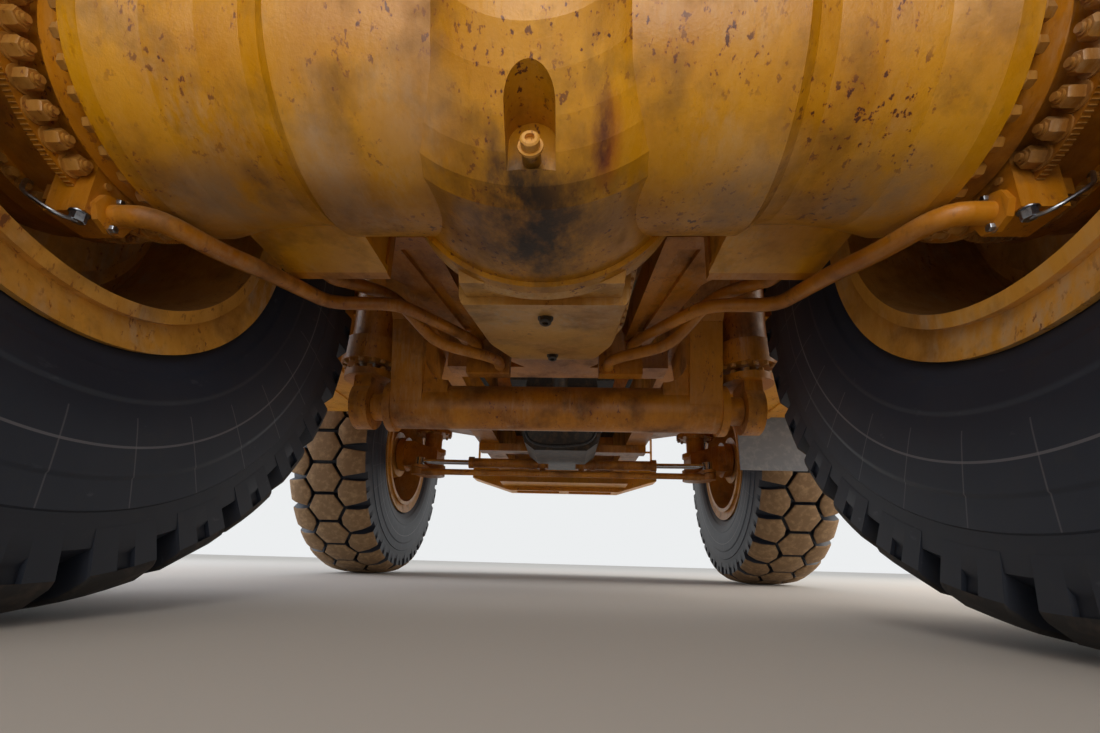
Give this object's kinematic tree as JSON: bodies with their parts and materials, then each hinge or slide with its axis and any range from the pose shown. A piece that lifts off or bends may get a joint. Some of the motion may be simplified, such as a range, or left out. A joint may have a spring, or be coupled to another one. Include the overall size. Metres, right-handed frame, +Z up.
{
  "type": "rigid-frame mining dump truck",
  "caption": "Rigid-frame mining haul truck with a raised dump bed, twin rear tyres, steered front wheels and a cab on the deck, parked empty with its bed down.",
  "frame": {"origin": "on the ground under the middle of the truck's length and width", "axes": "+Z up, -Y forward, +X to the driver's left"},
  "size_m": [6.94, 12.18, 6.2999],
  "materials": {
    "paint": "worn ochre enamel with dust and rust",
    "rubber": "matte, dusty tread",
    "steel": "polished",
    "dark": "oily satin",
    "glass": "clear",
    "flap": "dusty",
    "seat": "satin"
  },
  "bodies": {
    "chassis": {"frame_rails": "paint", "frame_cross_tube": "paint", "front_frame": "paint", "rear_frame": "paint", "front_bumper": "paint", "engine": "dark", "radiator": "paint", "headlamps": "paint", "steering_bracket": "paint", "deck": "paint", "handrails": "paint", "ladders": "paint", "cab_shell": "paint", "cab_glass": "glass", "cab_seat": "seat", "fuel_tank": "paint", "hydraulic_tank": "paint", "tank_brackets": "paint", "air_cleaners": "dark", "front_struts": "paint", "axle_housing": "paint", "brake_housings": "paint", "transmission": "paint", "axle_frame": "paint", "rear_struts": "paint", "drive_shaft": "dark", "brake_tubes": "paint", "mud_flap": "flap"},
    "dump_body": {"bed_floor": "paint", "bed_beams": "paint", "bed_sides": "paint", "bed_front": "paint", "bed_canopy": "paint"},
    "wheel_front_left": {"tyre_front_left": "rubber", "rim_front_left": "paint"},
    "wheels_rear_left": {"tyres_rear_left": "rubber", "rims_rear_left": "paint"},
    "knuckle_left": {"knuckle_left": "paint"},
    "steer_barrel_left": {"steer_barrel_left": "paint"},
    "steer_rod_left": {"steer_rod_left": "paint"},
    "hoist_barrel_left": {"hoist_barrel_left": "paint"},
    "hoist_stage_left": {"hoist_stage_left": "steel"},
    "hoist_ram_left": {"hoist_ram_left": "paint"},
    "wheel_front_right": {"tyre_front_right": "rubber", "rim_front_right": "paint"},
    "wheels_rear_right": {"tyres_rear_right": "rubber", "rims_rear_right": "paint"},
    "knuckle_right": {"knuckle_right": "paint"},
    "steer_barrel_right": {"steer_barrel_right": "paint"},
    "steer_rod_right": {"steer_rod_right": "paint"},
    "hoist_barrel_right": {"hoist_barrel_right": "paint"},
    "hoist_stage_right": {"hoist_stage_right": "steel"},
    "hoist_ram_right": {"hoist_ram_right": "paint"},
    "tie_rod": {"tie_rod": "paint"},
    "cab_door": {"cab_door": "paint", "door_glass": "glass"}
  },
  "joints": [
    {"name": "bed_tilt", "type": "hinge", "parent": "chassis", "child": "dump_body", "pos_m": [0, 3.46, 2.5], "axis": [-1, 0, 0], "range_deg": [0, 45]},
    {"name": "steer_left", "type": "hinge", "parent": "chassis", "child": "knuckle_left", "pos_m": [1.93, -3.59, 1.7], "axis": [0, 0, 1], "range_deg": [-32, 32]},
    {"name": "wheel_front_left_spin", "type": "hinge", "parent": "knuckle_left", "child": "wheel_front_left", "pos_m": [2.715, -3.59, 1.7], "axis": [1, 0, 0], "continuous": true},
    {"name": "wheels_rear_left_spin", "type": "hinge", "parent": "chassis", "child": "wheels_rear_left", "pos_m": [1.8, 2.11, 1.7], "axis": [1, 0, 0], "continuous": true},
    {"name": "steer_right", "type": "hinge", "parent": "chassis", "child": "knuckle_right", "pos_m": [-1.93, -3.59, 1.7], "axis": [0, 0, 1], "range_deg": [-32, 32]},
    {"name": "wheel_front_right_spin", "type": "hinge", "parent": "knuckle_right", "child": "wheel_front_right", "pos_m": [-2.715, -3.59, 1.7], "axis": [1, 0, 0], "continuous": true},
    {"name": "wheels_rear_right_spin", "type": "hinge", "parent": "chassis", "child": "wheels_rear_right", "pos_m": [-1.8, 2.11, 1.7], "axis": [1, 0, 0], "continuous": true},
    {"name": "tie_rod_swing", "type": "hinge", "parent": "knuckle_left", "child": "tie_rod", "pos_m": [1.93, -2.94, 1.335], "axis": [0, 0, 1], "range_deg": [-33, 33]},
    {"name": "steer_barrel_left_swing", "type": "hinge", "parent": "chassis", "child": "steer_barrel_left", "pos_m": [0.26, -3.09, 1.49], "axis": [0, 0, 1], "range_deg": [-6, 6]},
    {"name": "steer_rod_left_slide", "type": "slide", "parent": "steer_barrel_left", "child": "steer_rod_left", "axis": [0.9994, 0.0359, 0], "range_m": [-0.36, 0.36]},
    {"name": "steer_barrel_right_swing", "type": "hinge", "parent": "chassis", "child": "steer_barrel_right", "pos_m": [-0.26, -3.09, 1.49], "axis": [0, 0, 1], "range_deg": [-6, 6]},
    {"name": "steer_rod_right_slide", "type": "slide", "parent": "steer_barrel_right", "child": "steer_rod_right", "axis": [-0.9994, 0.0359, 0], "range_m": [-0.36, 0.36]},
    {"name": "hoist_ram_left_swing", "type": "hinge", "parent": "chassis", "child": "hoist_ram_left", "pos_m": [1.345, 0.135, 1.25], "axis": [-1, 0, 0], "range_deg": [0, 20]},
    {"name": "hoist_stage_left_slide", "type": "slide", "parent": "hoist_ram_left", "child": "hoist_stage_left", "axis": [0, 0, 1], "range_m": [0, 1.22]},
    {"name": "hoist_barrel_left_slide", "type": "slide", "parent": "hoist_stage_left", "child": "hoist_barrel_left", "axis": [0, 0, 1], "range_m": [0, 1.22]},
    {"name": "hoist_ram_right_swing", "type": "hinge", "parent": "chassis", "child": "hoist_ram_right", "pos_m": [-1.345, 0.135, 1.25], "axis": [-1, 0, 0], "range_deg": [0, 20]},
    {"name": "hoist_stage_right_slide", "type": "slide", "parent": "hoist_ram_right", "child": "hoist_stage_right", "axis": [0, 0, 1], "range_m": [0, 1.22]},
    {"name": "hoist_barrel_right_slide", "type": "slide", "parent": "hoist_stage_right", "child": "hoist_barrel_right", "axis": [0, 0, 1], "range_m": [0, 1.22]},
    {"name": "cab_door_swing", "type": "hinge", "parent": "chassis", "child": "cab_door", "pos_m": [2.575, -4.41, 4.4], "axis": [0, 0, -1], "range_deg": [0, 80]}
  ],
  "couplings": [
    {"joint": "steer_right", "follows": "steer_left", "ratio": 1},
    {"joint": "tie_rod_swing", "follows": "steer_left", "ratio": -1},
    {"joint": "steer_barrel_left_swing", "follows": "steer_left", "ratio": -0.0049},
    {"joint": "steer_rod_left_slide", "follows": "steer_left", "m_per_rad": -0.5313},
    {"joint": "steer_barrel_right_swing", "follows": "steer_left", "ratio": -0.0049},
    {"joint": "steer_rod_right_slide", "follows": "steer_left", "m_per_rad": 0.5313},
    {"joint": "hoist_ram_left_swing", "follows": "bed_tilt", "ratio": 0.419},
    {"joint": "hoist_stage_left_slide", "follows": "bed_tilt", "m_per_rad": 1.5383},
    {"joint": "hoist_barrel_left_slide", "follows": "bed_tilt", "m_per_rad": 1.5383},
    {"joint": "hoist_ram_right_swing", "follows": "bed_tilt", "ratio": 0.419},
    {"joint": "hoist_stage_right_slide", "follows": "bed_tilt", "m_per_rad": 1.5383},
    {"joint": "hoist_barrel_right_slide", "follows": "bed_tilt", "m_per_rad": 1.5383}
  ]
}
